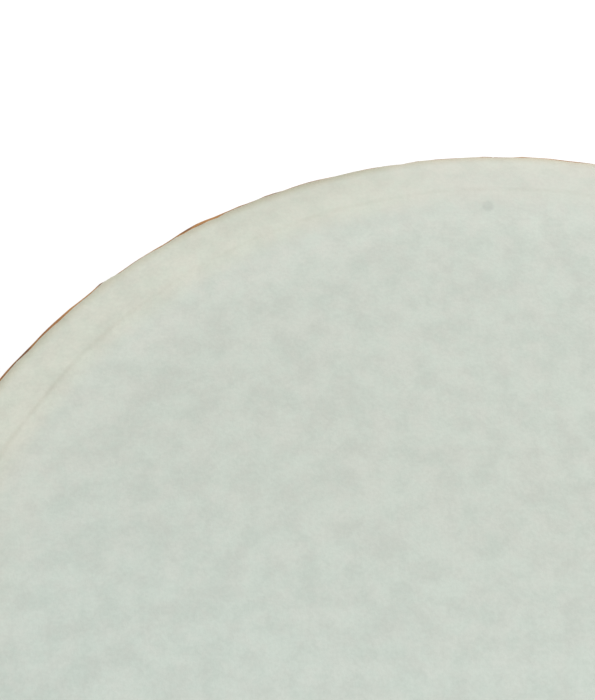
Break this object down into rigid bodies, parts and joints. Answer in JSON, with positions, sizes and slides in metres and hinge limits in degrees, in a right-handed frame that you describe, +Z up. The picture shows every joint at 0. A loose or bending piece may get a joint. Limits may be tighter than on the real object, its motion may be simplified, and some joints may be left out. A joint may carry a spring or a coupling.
{
  "type": "tube drum",
  "caption": "Floor-standing tube drum with a glued synthetic head, a fibre shell, a ported base board and rubber feet under its bottom edge.",
  "frame": {"origin": "on the floor under the middle of the drum", "axes": "+Z up along the tube, through the middle of the head; foot_1 lies towards +Y"},
  "size_m": [0.357, 0.357, 0.635],
  "materials": {
    "head_film": "matte, faintly mottled fibrous film",
    "trim_veneer": "thin stained band, satin",
    "shell_fibre": "wound fibre, sealed",
    "ring_wood": "bare plywood",
    "outer_laminate": "satin laminate",
    "rubber": "moulded, matte",
    "board_wood": "fibreboard",
    "port_card": "wound card tube",
    "plated_steel": "zinc plated"
  },
  "bodies": {
    "root": {"drumhead": "head_film", "head_trim_band": "trim_veneer", "shell_tube": "shell_fibre", "bearing_edge_ring": "ring_wood", "shell_wrap": "outer_laminate", "bottom_edge_guard": "rubber", "base_ring": "ring_wood", "base_board": "board_wood", "port_tube": "port_card", "port_collar": "board_wood", "foot_1": "rubber", "foot_2": "rubber", "foot_3": "rubber", "foot_bolt_1_1": "plated_steel", "foot_bolt_1_2": "plated_steel", "foot_bolt_2_1": "plated_steel", "foot_bolt_2_2": "plated_steel", "foot_bolt_3_1": "plated_steel", "foot_bolt_3_2": "plated_steel", "foot_washer_1_1": "plated_steel", "foot_washer_1_2": "plated_steel", "foot_washer_2_1": "plated_steel", "foot_washer_2_2": "plated_steel", "foot_washer_3_1": "plated_steel", "foot_washer_3_2": "plated_steel", "tee_nut_1_1": "plated_steel", "tee_nut_1_2": "plated_steel", "tee_nut_2_1": "plated_steel", "tee_nut_2_2": "plated_steel", "tee_nut_3_1": "plated_steel", "tee_nut_3_2": "plated_steel", "board_screw_1": "plated_steel", "board_screw_2": "plated_steel", "board_screw_3": "plated_steel", "board_screw_4": "plated_steel", "board_screw_5": "plated_steel", "board_screw_6": "plated_steel"}
  },
  "joints": []
}
